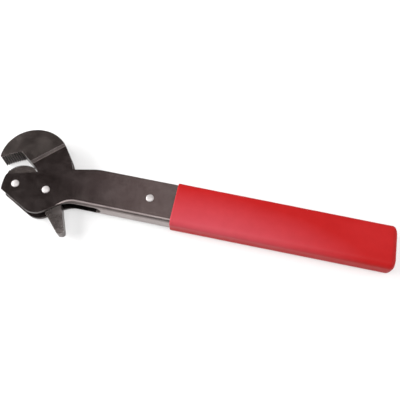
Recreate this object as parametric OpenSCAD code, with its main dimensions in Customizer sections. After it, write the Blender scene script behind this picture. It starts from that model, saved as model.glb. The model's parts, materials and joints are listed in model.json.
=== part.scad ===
// Self-adjusting grip wrench, lying on its side.
//
// A folded steel channel forms the handle, the neck and two cheek plates. A fixed hook jaw sits on the
// channel's shoulder edges. A cam jaw swings between the cheeks on the pivot rivet: the finger trigger
// opens it, and a tension spring inside the channel closes it.
//
// X runs from the jaws to the end of the handle, Y from the trigger's side to the hook's side, and Z
// through the thickness. Every module is drawn about the pivot, at half the tool's thickness, and
// on_floor() then moves it to the middle of the tool's footprint.

/* [Channel] */
// Height of the folded channel, from the web's face to the open edges
channel_h = 29.5; // [28.5:0.1:30]
// Thickness of the channel over both flanges
channel_w = 14; // [13:0.5:16]
// Thickness of the steel sheet
sheet_t = 2.5; // [2:0.1:3]
// Height of the channel's middle line above the pivot
centre_rise = 9.05; // [9:0.05:9.5]
// Outside radius of the folds
fold_r = 2.6; // [1:0.1:3]
// Distance from the pivot to the end of the trigger slot in the web
slot_end = 42; // [38:1:50]
// Distance from the pivot to the channel's end inside the grip
channel_end = 252.5; // [230:0.5:253]

/* [Head] */
// Radius of the hook's back
hook_r = 25.8; // [25.4:0.1:26]
// Radius of the cheeks' front edge about the pivot
cheek_r = 33.2; // [33:0.1:34]
// Angle of the shoulder on which the hook sits
shoulder_angle = 44; // [43:0.5:45]
// Half width of each chamfer along the shoulder
shoulder_chamfer = 1.4; // [0.5:0.1:1.4]
// Pitch of the jaw teeth
tooth_pitch = 1.7; // [1.4:0.1:2]
// Depth of the jaw teeth
tooth_depth = 0.95; // [0.6:0.05:1.1]

/* [Cam and trigger] */
// Clearance between the cam and each cheek
cam_side_gap = 0.3; // [0.2:0.05:0.5]
// Swing from closed to fully open
cam_swing = 14; // [10:1:14]
// Thickness of the cam's hub, between the two legs of the hook's tang
hub_t = 4.8; // [4:0.1:5]
// Thickness of the trigger
trigger_t = 8; // [6:0.2:8.2]
// Radius of the pins that hold the trigger on the cam
trigger_pin_r = 1.2; // [1:0.1:1.3]

/* [Rivets] */
// Radius of the rivets' shanks
rivet_r = 1.9; // [1.7:0.1:2]
// Radius of the rivets' heads
head_r = 2.9; // [2.6:0.1:3.2]
// Height of the rivets' heads
head_h = 1.1; // [0.8:0.1:1.1]
// Distance from the pivot to the front rivet
front_rivet_x = 23.5; // [23:0.1:24]
// Distance from the pivot to the rear rivet, along the handle
rear_rivet_x = 76.4; // [70:0.2:84]
// Height of the rear rivet above the pivot
rear_rivet_rise = 9.4; // [9:0.1:9.6]
// Outside radius of the two spacer sleeves
sleeve_r = 2.5; // [2.4:0.1:2.6]
// Outside radius of the bush that the cam turns on
bush_r = 3.6; // [3.2:0.1:4]

/* [Spring] */
// Diameter of the spring's wire
wire_d = 0.9; // [0.7:0.1:1]
// Outside radius of the coil
coil_r = 3.45; // [3:0.05:3.6]
// Distance along the spring from its front hook to the first coil
coil_start = 22; // [18:1:26]
// Length of the closed coil
coil_l = 40; // [30:1:42]

/* [Grip] */
// Distance from the pivot to the grip's open end
grip_start = 94.5; // [90:0.5:110]
// Distance from the pivot to the grip's closed end
grip_end = 256.8; // [255:0.2:257]
// Wall thickness of the vinyl
grip_wall = 1.7; // [1.2:0.1:2]
// Radius of the grip's long edges over the channel's open side
grip_edge_r = 2.4; // [2:0.1:4]
// Radius of the edges round the grip's closed end
grip_end_r = 4.5; // [2:0.5:6]

/* [Hidden] */
$fn = 48;

// Clearance of a riveted or running fit, on the radius
fit = 0.05;
// How far a cutting shape runs past the metal it cuts
past = 1;

inner_w = channel_w - 2 * sheet_t;
channel_top = centre_rise + channel_h / 2;
channel_bottom = centre_rise - channel_h / 2;
front_rivet_at = [-front_rivet_x, 0];
rear_rivet_at = [rear_rivet_x, rear_rivet_rise];

// The hook's back is an arc about this point
hook_centre = [-16.1, 21.3];
// The wall at the back of the mouth runs from its top corner, past the shoulder, to the cheeks
mouth_top = [-26.8, 25.8];
shoulder_start = [-17.2, 19.1];
mouth_bottom = [-9.2, 12.8];
// Where the folds reach their full rounding, behind the head
fold_start = 24.1;
// Angles on the hook's back: its tip, the shoulder's upper end, and where the flatter back edge starts
tip_angle = 184.7;
shoulder_end_angle = 41.6;
back_edge_angle = 30;
// Radius of the flatter back edge, from there down to the neck
back_edge_r = 56;
// The short flat nose under the tip ends here, where the hook's teeth start
nose_end = [-40.1, 18];
// Radius of the hollow arc on which the hook's teeth stand
hook_teeth_r = 53;
// The inside corner between the head and the neck
neck_corner = [14.8, 19.9];

// The cam's teeth stand on an arc about this point
tooth_arc_centre = [-20, 2.3];
tooth_arc_r = 15.1;
tooth_arc_from = 72;
tooth_arc_to = 146.8;

cam_t = inner_w - 2 * cam_side_gap;
// The cam's thick parts stay outside this radius, and the legs of the hook's tang inside leg_r
hub_clear_r = 10.8;
leg_r = 9.5;
hub_r = 9.8;
// Width between the legs, and how far from the pivot the fork reaches
fork_w = 5.4;
fork_r = 16;
// The trigger's tail on the cam points this way
tail_angle = -50;
pin_orbit_r = 13.2;
pin_spread = 12;
// The eye that the spring's front hook passes through
eye_at = [4, 11];
eye_r = 2.6;
eye_t = 2;
eye_hole_r = 0.9;

function unit(v) = v / norm(v);
function turned(v, a) = [v.x * cos(a) - v.y * sin(a), v.x * sin(a) + v.y * cos(a)];
function polar(r, a) = [r * cos(a), r * sin(a)];
function arc(centre, r, from, to, steps) =
    [for (i = [0:steps]) centre + polar(r, from + (to - from) * i / steps)];
function sharp(points) = [for (p = points) [p.x, p.y, 0]];

// The points of corner b, between its neighbours a and c, rounded to radius r
function corner(a, b, c, r, steps = 8) =
    r == 0 ? [b] :
    let (u = unit(a - b), v = unit(c - b), half = acos(u * v) / 2,
         centre = b + unit(u + v) * r / sin(half),
         from = b + u * r / tan(half) - centre,
         sweep = (cross(u, v) > 0 ? -1 : 1) * (180 - 2 * half))
    [for (i = [0:steps]) centre + turned(from, sweep * i / steps)];

// An outline from corners given as [x, y, radius]
function flat(p) = [p.x, p.y];
function rounded(p) =
    let (n = len(p))
    [for (i = [0:n - 1])
        each corner(flat(p[(i + n - 1) % n]), flat(p[i]), flat(p[(i + 1) % n]), p[i][2])];

// Teeth along an arc: crests on the arc, and roots nearer to its centre by depth, or further if negative
function teeth_on_arc(centre, r, from, to, depth) =
    let (count = round(r * abs(to - from) * PI / 180 / tooth_pitch), step = (to - from) / count)
    [for (i = [0:count - 1])
        each [centre + polar(r, from + step * i), centre + polar(r - depth, from + step * (i + 0.5))]];

// The centre of the arc of radius r from a to b, on the right of the way from a to b
function arc_centre(a, b, r) =
    (a + b) / 2 + turned(unit(b - a), -90) * sqrt(r * r - pow(norm(b - a) / 2, 2));
function bearing(centre, p) = atan2(p.y - centre.y, p.x - centre.x);

hook_teeth_centre = arc_centre(nose_end, mouth_top, hook_teeth_r);
hook_outline = rounded(concat(
    sharp(arc(hook_centre, hook_r, shoulder_end_angle, tip_angle, 36)),
    sharp(teeth_on_arc(hook_teeth_centre, hook_teeth_r, bearing(hook_teeth_centre, nose_end),
        bearing(hook_teeth_centre, mouth_top), -tooth_depth)),
    [[mouth_top.x, mouth_top.y, 0.6], [shoulder_start.x, shoulder_start.y, 0]]));

back_edge_top = hook_centre + polar(hook_r, back_edge_angle);
back_edge_centre = arc_centre(back_edge_top, neck_corner, back_edge_r);

// One side plate: cheek, neck and flange in one piece
flange_outline = rounded(concat(
    [[shoulder_start.x, shoulder_start.y, 0], [mouth_bottom.x, mouth_bottom.y, 1.3]],
    sharp(arc([0, 0], cheek_r, 169.5, 190.5, 4)),
    [[-3.8, -21.4, 12.5], [16.5, channel_bottom, 22]],
    [[channel_end, channel_bottom, 0], [channel_end, channel_top, 3], [33.5, channel_top, 40]],
    [[neck_corner.x, neck_corner.y, 1.2]],
    sharp(arc(back_edge_centre, back_edge_r, bearing(back_edge_centre, neck_corner) + 1.5,
        bearing(back_edge_centre, back_edge_top), 6)),
    sharp(arc(hook_centre, hook_r, back_edge_angle + 2, shoulder_end_angle, 3))));

// The hook's tang between the cheeks, down to its two legs on the pivot rivet
tang_outline = concat(
    [[-9, 0], [leg_r, 0], [leg_r, 6], neck_corner - [0.6, 0]],
    arc(hook_centre, hook_r, back_edge_angle, shoulder_end_angle, 3),
    [shoulder_start + [1.6, 1.7], [-10.6, 16.8], [-9, 12.5]]);

cam_head_outline = concat(
    teeth_on_arc(tooth_arc_centre, tooth_arc_r, tooth_arc_from, tooth_arc_to, tooth_depth),
    [tooth_arc_centre + polar(tooth_arc_r, tooth_arc_to), [-33.6, 6.4], [-33.2, 1], [-32, -3], [-27, -6.4]],
    [[-9, -6.6], [-9, 8], [-11.4, 13]]);

trigger_outline = concat(
    rounded([[1, -10.9, 0], [1.2, -13.6, 1.5], [17, -30.1, 2.4], [22.3, -29.2, 2.4], [12.8, -6.3, 1.5]]),
    arc([0, 0], hub_clear_r, -27, -84, 10));
trigger_low = min([for (p = trigger_outline) p.y]);

// The grip's outline from above or from the side, rounded at its closed end
function grip_profile(low, high) =
    rounded([[grip_start, low, 0], [grip_end, low, grip_end_r],
        [grip_end, high, grip_end_r], [grip_start, high, 0]]);

// From the pivot to the middle of the footprint, with the grip's side on the floor
footprint_middle = [(grip_end + hook_centre.x - hook_r) / 2, (hook_centre.y + hook_r + trigger_low) / 2];
half_thickness = channel_w / 2 + grip_wall;
module on_floor() {
    translate([-footprint_middle.x, -footprint_middle.y, half_thickness]) children();
}

// A plate of thickness t, centred on half thickness
module plate(t) {
    linear_extrude(height = t, center = true) children();
}

// A through bore at a point of the outline
module bore(at, r) {
    translate([at.x, at.y, 0]) cylinder(r = r, h = 2 * channel_w, center = true);
}

// The square bars that chamfer the edges on both sides of the shoulder
module shoulder_cutters() {
    bar = shoulder_chamfer * sqrt(2);
    shoulder_l = 28;
    overrun = 6;
    for (side = [-1, 1])
        translate([shoulder_start.x, shoulder_start.y, side * channel_w / 2])
            rotate([0, 0, shoulder_angle])
                translate([shoulder_l / 2, 0, 0]) rotate([45, 0, 0])
                    cube([shoulder_l + 2 * overrun, bar, bar], center = true);
}

// A bar along X whose cross-section has rounded edges; bottom and top are heights in Y
module rounded_bar(from, to, bottom, top, w, r) {
    translate([from, 0, 0]) rotate([90, 0, 90])
        linear_extrude(height = to - from) {
            translate([bottom + r, -w / 2]) square([top - bottom - 2 * r, w]);
            translate([bottom, -w / 2 + r]) square([top - bottom, w - 2 * r]);
            for (y = [bottom + r, top - r], z = [-w / 2 + r, w / 2 - r]) translate([y, z]) circle(r = r);
        }
}

// The folded channel's solid outline along X: rounded below, and square at its open edges
module channel_bar(from, to) {
    intersection() {
        rounded_bar(from, to, channel_bottom, channel_top + 2 * fold_r, channel_w, fold_r);
        translate([from - past, channel_bottom - past, -channel_w])
            cube([to - from + 2 * past, channel_top - channel_bottom + past, 2 * channel_w]);
    }
}

// The space that the folds leave to the head: their rounding runs out along a tighter arc than the edge's
module fold_run_out() {
    runout_r = 14;
    reach = 80;
    translate([fold_start, channel_bottom - runout_r, 0]) rotate([0, 0, 90])
        rotate_extrude(angle = 110)
            translate([runout_r, 0]) {
                translate([fold_r, -channel_w / 2]) square([reach, channel_w]);
                translate([0, fold_r - channel_w / 2]) square([reach, channel_w - 2 * fold_r]);
                for (z = [-1, 1]) translate([fold_r, z * (channel_w / 2 - fold_r)]) circle(r = fold_r);
            }
}

module handle_channel() {
    slot_round_r = inner_w / 2;
    color("#4a4140") on_floor() difference() {
        intersection() {
            union() {
                for (side = [-1, 1])
                    translate([0, 0, side * (channel_w - sheet_t) / 2]) plate(sheet_t) polygon(flange_outline);
                translate([fold_start, channel_bottom, -inner_w / 2])
                    cube([channel_end - fold_start, sheet_t, inner_w]);
            }
            union() {
                fold_run_out();
                channel_bar(fold_start, channel_end + past);
            }
        }
        translate([fold_start - past, channel_bottom - past, -inner_w / 2])
            cube([slot_end - slot_round_r - fold_start + past, sheet_t + past, inner_w]);
        translate([slot_end - slot_round_r, channel_bottom - past, 0])
            rotate([-90, 0, 0]) cylinder(r = slot_round_r, h = sheet_t + past);
        for (at = [[0, 0], front_rivet_at, rear_rivet_at]) bore(at, rivet_r + fit);
        shoulder_cutters();
    }
}

module hook_jaw() {
    color("#463d3b") on_floor() difference() {
        union() {
            plate(channel_w) polygon(hook_outline);
            plate(inner_w) polygon(tang_outline);
            cylinder(r = leg_r, h = inner_w, center = true);
        }
        cylinder(r = fork_r, h = fork_w, center = true);
        bore([0, 0], rivet_r + fit);
        shoulder_cutters();
    }
}

module spring_eye() {
    plate(eye_t) difference() {
        union() {
            translate(eye_at) circle(r = eye_r);
            polygon([[-1.5, 7], [5.5, 6], eye_at + [2.5, -0.5], eye_at + [-2.5, 0.8]]);
        }
        translate(eye_at) circle(r = eye_hole_r);
    }
}

// The tail between the trigger's two sides; grow widens it, for the trigger's slot
module cam_tail(grow) {
    rotate(tail_angle) polygon([[6, -5.2 - grow], [15, -5.2 - grow], [19 + grow, -3], [19 + grow, 3],
        [15, 5.2 + grow], [6, 5.2 + grow]]);
}

module trigger_pin_places() {
    for (a = [-pin_spread, pin_spread]) translate(polar(pin_orbit_r, tail_angle + a)) children();
}

module cam_jaw() {
    slot_gap = 0.2;
    end_gap = 0.5;
    slot_r = sleeve_r + slot_gap;
    color("#544c48") on_floor() difference() {
        union() {
            plate(cam_t) difference() {
                polygon(cam_head_outline);
                circle(r = hub_clear_r);
            }
            plate(hub_t) {
                intersection() {
                    polygon(cam_head_outline);
                    circle(r = hub_clear_r + 2);
                }
                circle(r = hub_r);
                cam_tail(0);
            }
            spring_eye();
        }
        bore([0, 0], bush_r + fit);
        trigger_pin_places() cylinder(r = trigger_pin_r, h = 2 * hub_t, center = true);
        // Arc slot that runs over the front rivet's sleeve and stops the cam at both ends
        rotate([0, 0, 180 - cam_swing - end_gap])
            rotate_extrude(angle = cam_swing + 2 * end_gap)
                translate([front_rivet_x - slot_r, -channel_w]) square([2 * slot_r, 2 * channel_w]);
        for (a = [180 - cam_swing - end_gap, 180 + end_gap]) bore(polar(front_rivet_x, a), slot_r);
    }
}

module trigger_lever() {
    color("#5e5654") on_floor() difference() {
        plate(trigger_t) polygon(trigger_outline);
        plate(hub_t) cam_tail(fit);
        trigger_pin_places() cylinder(r = trigger_pin_r, h = 2 * trigger_t, center = true);
    }
}

module trigger_pins() {
    color("silver") on_floor() trigger_pin_places() cylinder(r = trigger_pin_r, h = trigger_t, center = true);
}

// A shank between two domed heads that stand on the flanges
module rivet(at) {
    dome_steps = 6;
    color("#e9e2e1") on_floor() translate([at.x, at.y, 0]) {
        cylinder(r = rivet_r, h = channel_w, center = true);
        for (side = [0, 1]) mirror([0, 0, side]) rotate_extrude()
            polygon(concat([[0, channel_w / 2]],
                [for (i = [0:dome_steps]) let (a = 90 * i / dome_steps)
                    [head_r * pow(cos(a), 0.6), channel_w / 2 + head_h * sin(a)]]));
    }
}
module front_rivet() rivet(front_rivet_at);
module pivot_rivet() rivet([0, 0]);
module rear_rivet() rivet(rear_rivet_at);

module tube(at, outer_r, length) {
    color("#8d8783") on_floor() difference() {
        translate([at.x, at.y, 0]) cylinder(r = outer_r, h = length, center = true);
        bore(at, rivet_r + fit);
    }
}
module front_stop_sleeve() tube(front_rivet_at, sleeve_r, inner_w);
module pivot_bush() tube([0, 0], bush_r, fork_w);
module rear_spring_sleeve() tube(rear_rivet_at, sleeve_r, inner_w);

module wire_ring(r) {
    rotate_extrude() translate([r, 0]) circle(d = wire_d, $fn = 24);
}

// The closed coil stands as a tube; each end has a cross wire, a straight leg and a ring
module return_spring() {
    rear_ring_r = sleeve_r + 0.3 + wire_d / 2;
    front_ring_r = 1.75;
    along = rear_rivet_at - eye_at;
    length = norm(along);
    coil_end = coil_start + coil_l;
    color("#8f8a86") on_floor()
        translate([eye_at.x, eye_at.y, 0]) rotate([0, 0, atan2(along.y, along.x)]) {
            rotate([0, 90, 0]) difference() {
                translate([0, 0, coil_start]) cylinder(r = coil_r, h = coil_l);
                translate([0, 0, coil_start - past]) cylinder(r = coil_r - wire_d, h = coil_l + 2 * past);
            }
            for (x = [coil_start + wire_d / 2, coil_end - wire_d / 2])
                translate([x, 0, 0]) rotate([90, 0, 0])
                    cylinder(d = wire_d, h = 2 * coil_r - wire_d, center = true, $fn = 24);
            translate([2 * front_ring_r, 0, 0]) rotate([0, 90, 0])
                cylinder(d = wire_d, h = coil_start + wire_d / 2 - 2 * front_ring_r, $fn = 24);
            translate([coil_end - wire_d / 2, 0, 0]) rotate([0, 90, 0])
                cylinder(d = wire_d, h = length - rear_ring_r - coil_end + wire_d / 2, $fn = 24);
            translate([front_ring_r, 0, 0]) rotate([90, 0, 0]) wire_ring(front_ring_r);
            translate([length, 0, 0]) wire_ring(rear_ring_r);
        }
}

module vinyl_grip() {
    outer_bottom = channel_bottom - grip_wall;
    outer_top = channel_top + grip_wall;
    fold_edge_r = fold_r + grip_wall;
    color("#c8303a") on_floor() difference() {
        intersection() {
            rounded_bar(grip_start, grip_end, outer_bottom - 2 * grip_edge_r, outer_top,
                2 * half_thickness, grip_edge_r);
            rounded_bar(grip_start, grip_end, outer_bottom, outer_top + 2 * fold_edge_r,
                2 * half_thickness, fold_edge_r);
            plate(4 * half_thickness) polygon(grip_profile(outer_bottom, outer_top));
            rotate([90, 0, 0]) linear_extrude(height = 4 * outer_top, center = true)
                polygon(grip_profile(-half_thickness, half_thickness));
        }
        channel_bar(grip_start - past, channel_end);
    }
}

handle_channel();
hook_jaw();
cam_jaw();
trigger_lever();
trigger_pins();
front_rivet();
pivot_rivet();
rear_rivet();
front_stop_sleeve();
pivot_bush();
rear_spring_sleeve();
return_spring();
vinyl_grip();
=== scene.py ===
"""Looks of the self-adjusting grip wrench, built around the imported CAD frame."""

import json
import math

import bmesh
import bpy
from mathutils import Matrix, Vector, noise

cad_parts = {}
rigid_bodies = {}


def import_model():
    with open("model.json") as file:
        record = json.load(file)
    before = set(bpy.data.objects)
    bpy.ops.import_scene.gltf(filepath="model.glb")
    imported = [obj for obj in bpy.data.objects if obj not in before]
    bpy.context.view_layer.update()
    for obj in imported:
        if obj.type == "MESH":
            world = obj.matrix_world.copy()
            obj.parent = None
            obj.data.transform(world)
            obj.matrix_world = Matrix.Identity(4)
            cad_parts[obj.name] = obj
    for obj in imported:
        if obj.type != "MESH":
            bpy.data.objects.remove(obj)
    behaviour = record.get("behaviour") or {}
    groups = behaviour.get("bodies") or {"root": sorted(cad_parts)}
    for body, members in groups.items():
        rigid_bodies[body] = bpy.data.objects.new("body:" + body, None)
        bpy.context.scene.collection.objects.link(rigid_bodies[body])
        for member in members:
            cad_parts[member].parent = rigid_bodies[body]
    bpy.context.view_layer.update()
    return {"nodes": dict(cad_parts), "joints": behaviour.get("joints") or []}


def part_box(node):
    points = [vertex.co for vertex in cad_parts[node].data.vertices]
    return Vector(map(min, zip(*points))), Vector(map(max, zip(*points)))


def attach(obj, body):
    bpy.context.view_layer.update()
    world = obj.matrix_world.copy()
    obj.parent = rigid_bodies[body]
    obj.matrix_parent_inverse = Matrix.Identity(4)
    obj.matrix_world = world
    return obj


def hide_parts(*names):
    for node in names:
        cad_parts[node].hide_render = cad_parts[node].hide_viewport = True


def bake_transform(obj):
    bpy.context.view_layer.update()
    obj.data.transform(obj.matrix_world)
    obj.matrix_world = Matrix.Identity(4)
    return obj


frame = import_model()

MM = 0.001
PIVOT = Vector(frame["joints"][0]["pos_m"])
FRAME_BODY = frame["joints"][0]["parent"]
CAM_BODY = frame["joints"][0]["child"]


# ---------------------------------------------------------------- material helpers

class Shader:
    """A node material with a Principled shader, and short calls for the nodes that feed it."""

    def __init__(self, name, metallic, ior=1.5):
        self.material = bpy.data.materials.new(name)
        self.material.use_nodes = True
        self.nodes = self.material.node_tree.nodes
        self.bsdf = self.nodes["Principled BSDF"]
        self.bsdf.inputs["Metallic"].default_value = metallic
        self.bsdf.inputs["IOR"].default_value = ior
        self.place = self.nodes.new("ShaderNodeTexCoord").outputs["Object"]

    def link(self, output, target):
        self.material.node_tree.links.new(output, target)

    def stretched(self, scale):
        """Object coordinates multiplied by scale along each axis."""
        node = self.nodes.new("ShaderNodeMapping")
        node.inputs["Scale"].default_value = scale
        self.link(self.place, node.inputs["Vector"])
        return node.outputs["Vector"]

    def noise(self, size, detail=3.0, rough=0.5, stretch=(1, 1, 1)):
        """Noise whose features are about size metres across."""
        node = self.nodes.new("ShaderNodeTexNoise")
        node.inputs["Scale"].default_value = 1.0
        node.inputs["Detail"].default_value = detail
        node.inputs["Roughness"].default_value = rough
        self.link(self.stretched([s / size for s in stretch]), node.inputs["Vector"])
        return node.outputs["Fac"]

    def ramp(self, value, *stops):
        """value mapped through (position, colour or level) stops."""
        node = self.nodes.new("ShaderNodeValToRGB")
        elements = node.color_ramp.elements
        while len(elements) < len(stops):
            elements.new(0.5)
        for element, (position, colour) in zip(elements, stops):
            if not isinstance(colour, tuple):
                colour = (colour, colour, colour)
            element.position = position
            element.color = (*colour, 1.0)
        self.link(value, node.inputs["Fac"])
        return node.outputs["Color"]

    def mixed(self, a, b, share, kind="MIX"):
        """Colour a with b, a colour node or a plain colour, over it by a share between 0 and 1."""
        node = self.nodes.new("ShaderNodeMix")
        node.data_type = "RGBA"
        node.blend_type = kind
        if isinstance(share, float):
            node.inputs[0].default_value = share
        else:
            self.link(share, node.inputs[0])
        self.link(a, node.inputs[6])
        if isinstance(b, tuple):
            node.inputs[7].default_value = (*b, 1.0)
        else:
            self.link(b, node.inputs[7])
        return node.outputs[2]

    def patch(self, centre, reach):
        """1 at centre, falling to 0 at reach metres away along each axis."""
        node = self.nodes.new("ShaderNodeMapping")
        node.inputs["Scale"].default_value = [1 / r for r in reach]
        node.inputs["Location"].default_value = [-c / r for c, r in zip(centre, reach)]
        self.link(self.place, node.inputs["Vector"])
        ball = self.nodes.new("ShaderNodeTexGradient")
        ball.gradient_type = "SPHERICAL"
        self.link(node.outputs["Vector"], ball.inputs["Vector"])
        return ball.outputs["Fac"]

    def bump(self, *layers):
        """Stacks (height, depth in metres) layers into the shader's normal."""
        normal = None
        for height, depth in layers:
            node = self.nodes.new("ShaderNodeBump")
            node.inputs["Strength"].default_value = 1.0
            node.inputs["Distance"].default_value = depth
            self.link(height, node.inputs["Height"])
            if normal:
                self.link(normal, node.inputs["Normal"])
            normal = node.outputs["Normal"]
        self.link(normal, self.bsdf.inputs["Normal"])

    def finish(self, colour, roughness):
        """The finished material; roughness is a node's output or a plain level."""
        self.link(colour, self.bsdf.inputs["Base Color"])
        if isinstance(roughness, float):
            self.bsdf.inputs["Roughness"].default_value = roughness
        else:
            self.link(roughness, self.bsdf.inputs["Roughness"])
        return self.material


def blackened_steel(name, dark, light, rough, grain=(1, 6, 6), bare_and_highlight=None):
    """Black-oxide steel: blotchy oxide, fine tumbled grain along the sheet, and small rubbed specks.

    dark and light are the oxide's extreme colours, and rough its lowest and highest roughness. bare is
    the (centre, reach) of a brighter patch: steel rubbed bare by handling, and a painted highlight.
    """
    s = Shader(name, metallic=1.0)
    blotch = s.noise(0.011, detail=4, rough=0.6)
    fine = s.noise(0.0009, detail=3, rough=0.6, stretch=grain)
    speck = s.noise(0.0007, detail=2, rough=0.7)
    base = s.ramp(blotch, (0.3, dark), (0.72, light))
    grained = s.mixed(base, s.ramp(fine, (0.3, 0.78), (0.7, 1.0)), 0.6, "MULTIPLY")
    rubbed = tuple(min(1.0, 1.7 * c) for c in light)
    worn_and_highlit = s.mixed(grained, rubbed, s.ramp(speck, (0.66, 0.0), (0.74, 0.25)))
    # Partly wear and partly painted highlight: the tip patch mixes in brighter steel.
    if bare_and_highlight:
        worn_and_highlit = s.mixed(worn_and_highlit, s.ramp(blotch, (0.3, light), (0.7, rubbed)), s.patch(*bare_and_highlight))
    s.bump((fine, 0.000018), (blotch, 0.00006))
    return s.finish(worn_and_highlit, s.ramp(blotch, (0.3, rough[0]), (0.7, rough[1])))


def bright_steel(name, colour, rough, metallic=1.0):
    """Plated or ground steel with fine scratches; a dull plating is less metallic."""
    s = Shader(name, metallic=metallic)
    scuffs = s.noise(0.0006, detail=4, rough=0.65, stretch=(1, 3, 1))
    cloud = s.noise(0.002, detail=2)
    dull = tuple(0.86 * c for c in colour)
    s.bump((scuffs, 0.00001))
    return s.finish(s.ramp(cloud, (0.3, dull), (0.7, colour)),
                    s.ramp(scuffs, (0.3, rough), (0.7, rough + 0.14)))


# Centre and reach, in metres, of a painted sheen: a paler, pinker patch low on the grip's side toward the
# jaws that stands in for a broad highlight
PAINTED_SHEEN_PATCH = ((0.01, -0.022, 0.0174), (0.125, 0.036, 0.011))


def red_vinyl():
    """Dipped vinyl: a clouded red with a painted sheen (a paler, pinker patch in place of a highlight),
    an orange-peel skin and a slightly uneven gloss.
    """
    s = Shader("red_vinyl", metallic=0.0, ior=1.45)
    s.bsdf.inputs["Specular IOR Level"].default_value = 0.07
    cloud = s.noise(0.03, detail=3, stretch=(0.4, 1, 1))
    mottle = s.noise(0.006, detail=3)
    peel = s.noise(0.0022, detail=2, rough=0.4)
    grain = s.noise(0.00035, detail=2)
    red = s.ramp(cloud, (0.3, (0.42, 0.011, 0.011)), (0.7, (0.455, 0.017, 0.018)))
    # Painted sheen: a paler, pinker red that stands in for a broad highlight low on the side toward the
    # jaws.
    painted_sheen_red = s.ramp(cloud, (0.3, (0.52, 0.075, 0.098)), (0.7, (0.56, 0.09, 0.116)))
    red = s.mixed(red, painted_sheen_red, s.patch(*PAINTED_SHEEN_PATCH))
    red = s.mixed(red, s.ramp(mottle, (0.3, 0.93), (0.7, 1.0)), 0.7, "MULTIPLY")
    s.bump((peel, 0.00005), (grain, 0.000006))
    return s.finish(red, s.ramp(mottle, (0.3, 0.34), (0.7, 0.44)))


# Centre and reach, in metres, of the trigger's tip: a brighter patch that is partly steel rubbed by the
# finger and partly a painted highlight
TIP_WEAR_AND_HIGHLIGHT = ((-0.0868, -0.0355, 0.0087), (0.007, 0.009, 0.02))

STEEL = blackened_steel("blackened_steel", (0.28, 0.23, 0.222), (0.375, 0.322, 0.312), (0.16, 0.21))
STEEL_EDGE = blackened_steel("blackened_steel_edge", (0.22, 0.19, 0.18), (0.30, 0.27, 0.26), (0.42, 0.52))
STEEL_FOLD = blackened_steel("blackened_steel_fold", (0.23, 0.189, 0.182), (0.31, 0.266, 0.258),
                             (0.36, 0.44))
# Painted shade: the channel's upright cut edges and slot walls get a far darker oxide colour than its
# faces.
STEEL_CUT_SHADED = blackened_steel("blackened_steel_cut_painted_shade", (0.07, 0.058, 0.055), (0.11, 0.095, 0.09), (0.3, 0.4))
JAW = blackened_steel("blackened_jaw", (0.33, 0.285, 0.268), (0.44, 0.385, 0.36), (0.2, 0.26),
                      grain=(3, 3, 3))
JAW_EDGE = blackened_steel("blackened_jaw_edge", (0.17, 0.147, 0.14), (0.24, 0.21, 0.2), (0.42, 0.52))
# Painted shade: a much darker colour for the teeth and the mouth's walls.
JAW_BITE_SHADED = blackened_steel("blackened_jaw_bite_painted_shade", (0.04, 0.034, 0.032), (0.07, 0.06, 0.057), (0.3, 0.4))
LEVER = blackened_steel("blackened_lever", (0.23, 0.2, 0.19), (0.32, 0.285, 0.275), (0.24, 0.33),
                        grain=(6, 2, 6), bare_and_highlight=TIP_WEAR_AND_HIGHLIGHT)
# Painted shade: a much darker colour for the lever's steep sides.
LEVER_RIM_SHADED = blackened_steel("blackened_lever_rim_painted_shade", (0.12, 0.1, 0.096), (0.17, 0.148, 0.142), (0.3, 0.4))
RIVET = bright_steel("bright_rivet", (0.56, 0.53, 0.525), 0.4, metallic=0.35)
PLAIN = bright_steel("plain_steel", (0.4, 0.385, 0.375), 0.3)
SPRING = bright_steel("spring_steel", (0.36, 0.34, 0.33), 0.28)
VINYL = red_vinyl()


# ---------------------------------------------------------------- mesh helpers

def to_mesh(name, bm, materials, smooth_angle=40):
    """A new object from a bmesh in millimetres, smooth up to smooth_angle degrees."""
    bmesh.ops.transform(bm, matrix=Matrix.Scale(MM, 4), verts=bm.verts)
    bmesh.ops.recalc_face_normals(bm, faces=bm.faces)
    mesh = bpy.data.meshes.new(name)
    bm.to_mesh(mesh)
    bm.free()
    for material in materials:
        mesh.materials.append(material)
    mesh.shade_smooth()
    mesh.set_sharp_from_angle(angle=math.radians(smooth_angle))
    obj = bpy.data.objects.new(name, mesh)
    bpy.context.scene.collection.objects.link(obj)
    return obj


def stand_in(obj, body, slot, *nodes):
    """obj rides on body and is shown in place of the CAD nodes. slot is not used."""
    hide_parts(*nodes)
    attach(obj, body)
    return obj


def cad_copy(node):
    """The CAD node's mesh in millimetres, with its flat faces whole again."""
    bm = bmesh.new()
    bm.from_mesh(frame["nodes"][node].data)
    bmesh.ops.transform(bm, matrix=Matrix.Scale(1 / MM, 4), verts=bm.verts)
    bmesh.ops.remove_doubles(bm, verts=bm.verts, dist=0.002)
    bmesh.ops.dissolve_limit(bm, angle_limit=math.radians(0.6), verts=bm.verts, edges=bm.edges)
    return bm


# Edges that turn more than this are sharp, and get rounded
SHARP = math.radians(38)


def round_edges(bm, width, segments, material, chosen=lambda edge: True):
    """Rounds the sharp edges that chosen picks; the new faces take the material at that index."""
    edges = [e for e in bm.edges if e.is_manifold and e.calc_face_angle() > SHARP and chosen(e)]
    bmesh.ops.bevel(bm, geom=edges, offset=width, offset_type="OFFSET", segments=segments,
                    profile=0.5, affect="EDGES", clamp_overlap=True, material=material)


def even_normals(obj):
    """Keeps the shading of the large flat faces flat beside their rounded edges."""
    obj.modifiers.new("even_normals", "WEIGHTED_NORMAL").keep_sharp = True


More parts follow.
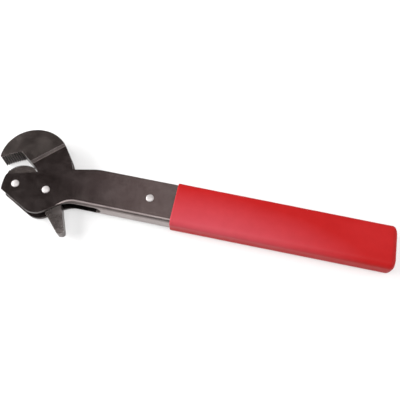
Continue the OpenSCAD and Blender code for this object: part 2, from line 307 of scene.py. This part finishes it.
def softened(node, body, slot, width, materials, pick):
    """A copy of a CAD node with rounded edges, in its place.

    pick gives each face's material. The rounded edges take the second of materials.
    """
    bm = cad_copy(node)
    for face in bm.faces:
        face.material_index = materials.index(pick(face))
    round_edges(bm, width, segments=3, material=1)
    obj = to_mesh(node + "_body", bm, materials)
    even_normals(obj)
    return stand_in(obj, body, slot, node)


def loft(bm, rings):
    """Joins rings of equally many points with quads, and caps both ends."""
    made = [[bm.verts.new(p) for p in ring] for ring in rings]
    n = len(made[0])
    for a, b in zip(made, made[1:]):
        for i in range(n):
            bm.faces.new((a[i], a[(i + 1) % n], b[(i + 1) % n], b[i]))
    bm.faces.new(made[0][::-1])
    bm.faces.new(made[-1])


def in_mm(point):
    """A point of the frame, in metres, as a vector in millimetres."""
    return Vector(point) / MM


# ---------------------------------------------------------------- steel parts

def near_pin(edge, pins):
    """True for an edge on the bores that the two cross pins fill."""
    middle = (edge.verts[0].co + edge.verts[1].co) / 2
    low, high = pins
    margin = 0.2
    return all(low[k] - margin < middle[k] < high[k] + margin for k in (0, 1))


def make_trigger():
    """The finger lever: the CAD solid with broad, crowned outer edges."""
    bm = cad_copy("trigger_lever")
    faces_z = [min(v.co.z for v in bm.verts), max(v.co.z for v in bm.verts)]
    pins = [in_mm(corner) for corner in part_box("trigger_pins")]
    crown = 1.7
    same_height = 0.01
    rim_tilt = 0.7

    def on_outline(edge):
        flat = any(all(abs(v.co.z - z) < same_height for v in edge.verts) for z in faces_z)
        return flat and not near_pin(edge, pins)

    round_edges(bm, crown, segments=7, material=0, chosen=on_outline)
    # Painted shade: faces that tilt far from level take the darker rim colour.
    looks = [LEVER, LEVER_RIM_SHADED]
    for face in bm.faces:
        face.material_index = looks.index(LEVER_RIM_SHADED if abs(face.normal.z) < rim_tilt else LEVER)
    obj = to_mesh("trigger_lever_body", bm, looks, smooth_angle=50)
    even_normals(obj)
    stand_in(obj, CAM_BODY, "blackened_lever", "trigger_lever")


def lathe(bm, profile, centre):
    """Turns (radius, height) points, from pole to pole, about the Z axis through centre."""
    segments = 64
    poles = [bm.verts.new((centre.x, centre.y, profile[i][1])) for i in (0, -1)]
    angles = [2 * math.pi * k / segments for k in range(segments)]
    rings = [[bm.verts.new((centre.x + r * math.cos(a), centre.y + r * math.sin(a), z))
              for a in angles] for r, z in profile[1:-1]]
    for k in range(segments):
        n = (k + 1) % segments
        bm.faces.new((poles[0], rings[0][n], rings[0][k]))
        bm.faces.new((poles[1], rings[-1][k], rings[-1][n]))
        for lower, upper in zip(rings, rings[1:]):
            bm.faces.new((lower[k], lower[n], upper[n], upper[k]))


def make_rivet(node):
    """A shank with two low domed heads, whose rims are rolled down onto the sheet."""
    low, high = (in_mm(corner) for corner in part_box(node))
    sheet = in_mm(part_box("handle_channel")[1]).z
    centre = (low + high) / 2
    head_r = (high.x - low.x) / 2
    head_h = high.z - sheet
    rim_h = 0.3
    shank_r = 0.6 * head_r
    above_sheet = sheet + 0.02
    upper = [(0.0, high.z)]
    for degrees in range(8, 81, 8):
        a = math.radians(degrees)
        dome = sheet + rim_h + (head_h - rim_h) * math.cos(a)
        upper.append(((head_r - 0.12) * math.sin(a) ** 0.85, dome))
    upper += [(head_r - 0.03, sheet + rim_h), (head_r, sheet + 0.6 * rim_h), (head_r - 0.05, above_sheet)]
    upper += [(shank_r, above_sheet), (shank_r, centre.z)]
    lower = [(r, 2 * centre.z - z) for r, z in upper[:-1]]
    bm = bmesh.new()
    lathe(bm, lower + upper[::-1], centre)
    stand_in(to_mesh(node + "_lathed", bm, [RIVET], smooth_angle=50), FRAME_BODY, "bright_rivet", node)


# How far a face tilts is read from the size of its normal's Z part: 0 is upright and 1 is level.
# Areas are in square millimetres.
UPRIGHT, LEVEL = 0.02, 0.999
NEARLY_UPRIGHT = 0.2
CHAMFER_TILT = (0.6, 0.8)
CHAMFER_AREA = 8
WEB_AREA = 40


def is_chamfer(face):
    """True for the broad chamfers along the shoulder, which runs across the handle."""
    low, high = CHAMFER_TILT
    across_handle = face.normal.x ** 2 > 0.05
    return face.calc_area() > CHAMFER_AREA and low < abs(face.normal.z) < high and across_handle


def sheet_finish(face):
    """The channel's finish at a face."""
    tilt = abs(face.normal.z)
    if is_chamfer(face):
        return STEEL_EDGE
    if UPRIGHT < tilt < LEVEL:
        return STEEL_FOLD
    on_web = face.normal.y < -0.98 and face.calc_area() > WEB_AREA
    # Upright faces off the web take the painted-shade colour.
    return STEEL_CUT_SHADED if tilt < NEARLY_UPRIGHT and not on_web else STEEL


# The middle of the hook's round back from the cam's pivot, and a radius that clears that back, in mm
HOOK_CENTRE = Vector((-16.1, 21.3, 0))
HOOK_INSIDE_R = 24.5


def jaw_finish(face):
    """A jaw's finish at a face: its teeth and the mouth's walls get painted shade, a much darker colour.
    """
    if is_chamfer(face):
        return JAW_EDGE
    offset = face.calc_center_median() - in_mm(PIVOT) - HOOK_CENTRE
    inside = offset.xy.length < HOOK_INSIDE_R
    return JAW_BITE_SHADED if abs(face.normal.z) < NEARLY_UPRIGHT and inside else JAW


SHEET_LOOKS = [STEEL, STEEL_EDGE, STEEL_CUT_SHADED, STEEL_FOLD]
JAW_LOOKS = [JAW, JAW_EDGE, JAW_BITE_SHADED]

softened("handle_channel", FRAME_BODY, "blackened_sheet", 0.3, SHEET_LOOKS, sheet_finish)
softened("hook_jaw", FRAME_BODY, "blackened_jaw", 0.22, JAW_LOOKS, jaw_finish)
softened("cam_jaw", CAM_BODY, "blackened_jaw", 0.16, JAW_LOOKS, jaw_finish)
make_trigger()
for rivet in ("front_rivet", "pivot_rivet", "rear_rivet"):
    make_rivet(rivet)

for node, material in (("trigger_pins", RIVET), ("front_stop_sleeve", PLAIN), ("pivot_bush", PLAIN),
                       ("rear_spring_sleeve", PLAIN)):
    mesh = frame["nodes"][node].data
    mesh.materials.clear()
    mesh.materials.append(material)


# ---------------------------------------------------------------- return spring

def smooth_path(points, per_span):
    """A Catmull-Rom curve through the points."""
    padded = [2 * points[0] - points[1], *points, 2 * points[-1] - points[-2]]
    path = []
    for a, b, c, d in zip(padded, padded[1:], padded[2:], padded[3:]):
        for k in range(per_span):
            t = k / per_span
            path.append(0.5 * (2 * b + (c - a) * t + (2 * a - 5 * b + 4 * c - d) * t * t
                               + (3 * b - a - 3 * c + d) * t ** 3))
    return path + [points[-1]]


def sweep(bm, path, radius):
    """A round wire along the path, carried along without twist, with narrower ends."""
    sides = 8
    side = Vector((0, 0.6, 0.8))
    last = len(path) - 1
    rings = []
    for i, point in enumerate(path):
        along = (path[min(i + 1, last)] - path[max(i - 1, 0)]).normalized()
        side = (side - along * side.dot(along)).normalized()
        other = along.cross(side)
        r = radius * (0.6 if i in (0, last) else 1.0)
        rings.append([point + r * (side * math.cos(a) + other * math.sin(a))
                      for a in (2 * math.pi * k / sides for k in range(sides))])
    loft(bm, rings)


def make_spring():
    """A closed coil on straight legs, looped through the cam's eye and round the rear sleeve."""
    low, high = (in_mm(corner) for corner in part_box("return_spring"))
    sleeve_low, sleeve_high = (in_mm(corner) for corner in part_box("rear_spring_sleeve"))
    wire_r = 0.45
    coil_r = (high.z - low.z) / 2 - wire_r
    rear = (sleeve_low + sleeve_high) / 2
    rear_r = high.x - rear.x - wire_r
    front_r = 1.75
    eye = in_mm(PIVOT) + Vector((4, 11, 0))
    length = (rear - eye).length
    along = (rear - eye).normalized()
    up = Vector((0, 0, 1))
    across = up.cross(along)
    coil_from, coil_to = 22.4, 61.6
    pitch = 2.01 * wire_r
    per_turn = 20
    steps = int((coil_to - coil_from) / pitch * per_turn)

    def at(x, turn=0.0, r=0.0):
        return eye + along * x + r * (across * math.cos(turn) + up * math.sin(turn))

    def loop(centre_x, r, second, start):
        angles = [math.radians(start + 18 * k) for k in range(17)]
        return [at(centre_x) + r * (along * math.cos(a) + second * math.sin(a)) for a in angles]

    keys = loop(front_r, front_r, up, 42)
    keys += [at(x) for x in (4.8, 7, 12, 18, 21)]
    keys.append(at(coil_from - 0.3, 0.0, 0.35 * coil_r))
    for k in range(steps + 1):
        keys.append(at(coil_from + pitch * k / per_turn, 2 * math.pi * k / per_turn, coil_r))
    keys.append(at(coil_to + 0.4, 2 * math.pi * steps / per_turn, 0.35 * coil_r))
    keys += [at(coil_to + 2), at(length - rear_r - 1.2)]
    keys += loop(length, rear_r, across, 194)
    bm = bmesh.new()
    sweep(bm, smooth_path(keys, 2), wire_r)
    spring = to_mesh("return_spring_wire", bm, [SPRING], smooth_angle=60)
    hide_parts("return_spring")
    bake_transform(spring)


make_spring()


# ---------------------------------------------------------------- vinyl grip

def section(x, low, high, shrink, radii):
    """A ring across the handle at x: a rounded rectangle between (y, z) corners, shrunk all round.

    radii are those of the edges on the high side and on the low side.
    """
    corner_steps, side_steps = 7, 12
    near = [c + shrink for c in low]
    far = [c - shrink for c in high]
    half_height = (far[1] - near[1]) / 2
    top, bottom = (max(0.2, min(r, half_height - 0.1)) for r in radii)
    corners = [(far[0] - top, far[1] - top, top), (near[0] + bottom, far[1] - bottom, bottom),
               (near[0] + bottom, near[1] + bottom, bottom), (far[0] - top, near[1] + top, top)]
    ring = []
    for k, (y, z, r) in enumerate(corners):
        for i in range(corner_steps + 1):
            a = math.pi / 2 * (k + i / corner_steps)
            ring.append(Vector((x, y + r * math.cos(a), z + r * math.sin(a))))
        next_y, next_z, r = corners[(k + 1) % 4]
        a = math.pi / 2 * (k + 1)
        start, goal = ring[-1], Vector((x, next_y + r * math.cos(a), next_z + r * math.sin(a)))
        ring += [start.lerp(goal, i / side_steps) for i in range(1, side_steps)]
    return ring


def skin_dip(x, start, end):
    """Slow unevenness of the dipped skin, which always lies inside the sleeve's size."""
    fade_l, deepest, wave_l = 6, 0.09, 11
    fade = max(0.0, min(1.0, (x - start) / fade_l, (end - x) / fade_l))
    return fade * deepest * (0.5 + 0.5 * noise.noise(Vector((x / wave_l, 2.3, 7.1))))


def make_grip():
    """A dipped sleeve: soft edges, a rolled lip at the open end and a full, slanted closed end."""
    low, high = (in_mm(corner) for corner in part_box("vinyl_grip"))
    channel_low, channel_high = (in_mm(corner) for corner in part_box("handle_channel"))
    wall = channel_low.z - low.z
    fold_r = 2.6
    edges = (2.6, fold_r + wall)
    inner_edges = (0.4, fold_r)
    end_r, lip_r, gap = 4.2, 0.8, 0.03
    taper = 0.35
    slant, slant_run = 1.1, 30
    lip_steps, body_steps, end_steps = 5, 44, 12

    def outer(x, shrink=0.0, swell=0.0):
        t = (x - low.x) / (high.x - low.x)
        return section(x, (low.y + taper * t, low.z), (high.y - taper * t, high.z), shrink,
                       [r + swell for r in edges])

    def inner(x, shrink):
        return section(x, (low.y + wall, low.z + wall), (high.y - wall, high.z - wall), shrink,
                       [r - shrink for r in inner_edges])

    rings = [inner(x, -gap) for x in (channel_high.x + gap, low.x + 40, low.x + lip_r)]
    rings.append(inner(low.x + 0.3 * lip_r, -0.25 * lip_r))
    for k in range(lip_steps + 1):
        a = math.pi / 2 * k / lip_steps
        rings.append(outer(low.x + lip_r * (1 - math.cos(a)), lip_r * (1 - math.sin(a))))
    first_body_ring = len(rings)
    body_from, body_to = low.x + 2 * lip_r, high.x - slant - end_r
    for k in range(body_steps + 1):
        x = body_from + (body_to - body_from) * k / body_steps
        rings.append(outer(x, skin_dip(x, body_from, body_to)))
    for k in range(1, end_steps):
        a = math.pi / 2 * k / end_steps
        inward = 1 - math.cos(a)
        rings.append(outer(body_to + end_r * math.sin(a), end_r * inward, 1.5 * inward))
    rings.append(outer(body_to + end_r, 1.25 * end_r, 0.5))
    for ring in rings[first_body_ring:]:
        for point in ring:
            reach = max(0.0, (point.x - body_to + slant_run) / (end_r + slant_run))
            point.x += slant * reach ** 2 * (high.y - point.y) / (high.y - low.y)
    bm = bmesh.new()
    loft(bm, rings)
    grip = to_mesh("vinyl_grip_sleeve", bm, [VINYL], smooth_angle=70)
    stand_in(grip, FRAME_BODY, "red_vinyl", "vinyl_grip")


make_grip()


# ---------------------------------------------------------------- stage, lights and camera

def make_floor():
    """A pale floor that glows a little, which keeps the shadows on it faint."""
    bm = bmesh.new()
    half_side = 12000
    bmesh.ops.create_grid(bm, x_segments=1, y_segments=1, size=half_side)
    s = Shader("pale_floor", metallic=0.0)
    cloud = s.noise(0.4, detail=2)
    paper = s.ramp(cloud, (0.3, 0.48), (0.7, 0.5))
    s.bsdf.inputs["Emission Color"].default_value = (1, 1, 1, 1)
    s.bsdf.inputs["Emission Strength"].default_value = 0.45
    floor = to_mesh("floor", bm, [s.finish(paper, 0.9)])


def softbox(name, place, size, power, tint=(1, 1, 1)):
    """A rectangular lamp at place, in metres, that faces the middle of the tool."""
    light = bpy.data.lights.new(name, "AREA")
    light.shape = "RECTANGLE"
    light.size, light.size_y = size
    light.energy = power
    light.color = tint
    obj = bpy.data.objects.new(name, light)
    obj.location = place
    obj.rotation_mode = "QUATERNION"
    obj.rotation_quaternion = (-Vector(place)).to_track_quat("-Z", "Y")
    bpy.context.scene.collection.objects.link(obj)


def make_world():
    """A room that is pale at the horizon and dim overhead, where the flat steel mirrors it."""
    world = bpy.data.worlds.new("room")
    world.use_nodes = True
    nodes, links = world.node_tree.nodes, world.node_tree.links
    coord = nodes.new("ShaderNodeTexCoord")
    split = nodes.new("ShaderNodeSeparateXYZ")
    ramp = nodes.new("ShaderNodeValToRGB")
    links.new(coord.outputs["Generated"], split.inputs[0])
    links.new(split.outputs["Z"], ramp.inputs["Fac"])
    ramp.color_ramp.elements.new(0.5)
    stops = ((0.08, (0.5, 0.5, 0.5)), (0.2, (0.1, 0.1, 0.1)), (0.7, (0.027, 0.020, 0.019)))
    for element, (position, colour) in zip(ramp.color_ramp.elements, stops):
        element.position = position
        element.color = (*colour, 1)
    links.new(ramp.outputs["Color"], nodes["Background"].inputs["Color"])
    bpy.context.scene.world = world


AZIMUTH, ELEVATION, ROLL = map(math.radians, (12.0, 67.5, 0.1))
DISTANCE = 0.4353
FOCAL = 52.8
# What the camera looks at, from the cam's pivot
AIM = Vector((0.11185, 0.0185, 0.0))


def make_camera():
    """The photograph's view: nearly overhead, from the trigger's side."""
    aim = PIVOT + AIM
    level = math.cos(ELEVATION)
    back = Vector((math.sin(AZIMUTH) * level, -math.cos(AZIMUTH) * level, math.sin(ELEVATION)))
    camera = bpy.data.cameras.new("camera")
    camera.lens = FOCAL
    camera.sensor_width = 36
    camera.clip_start, camera.clip_end = 0.01, 20
    obj = bpy.data.objects.new("camera", camera)
    obj.location = aim + back * DISTANCE
    obj.rotation_mode = "QUATERNION"
    roll = Matrix.Rotation(ROLL, 3, "Z").to_quaternion()
    obj.rotation_quaternion = (-back).to_track_quat("-Z", "Y") @ roll
    bpy.context.scene.collection.objects.link(obj)
    bpy.context.scene.camera = obj


make_floor()
make_world()
softbox("left", (-0.75, -0.08, 0.43), (0.9, 0.45), 12)
softbox("right", (1.3, 0.05, 0.9), (0.9, 0.9), 11)
softbox("back", (-0.1, 1.35, 0.55), (1.6, 0.4), 3)
softbox("top", (0.1, -0.15, 1.5), (1.2, 0.7), 11.5)
softbox("glow", (-0.11, 0.40, 1.12), (0.45, 0.45), 0.25, (1, 0.88, 0.88))
make_camera()
bpy.context.scene.view_settings.view_transform = "Standard"
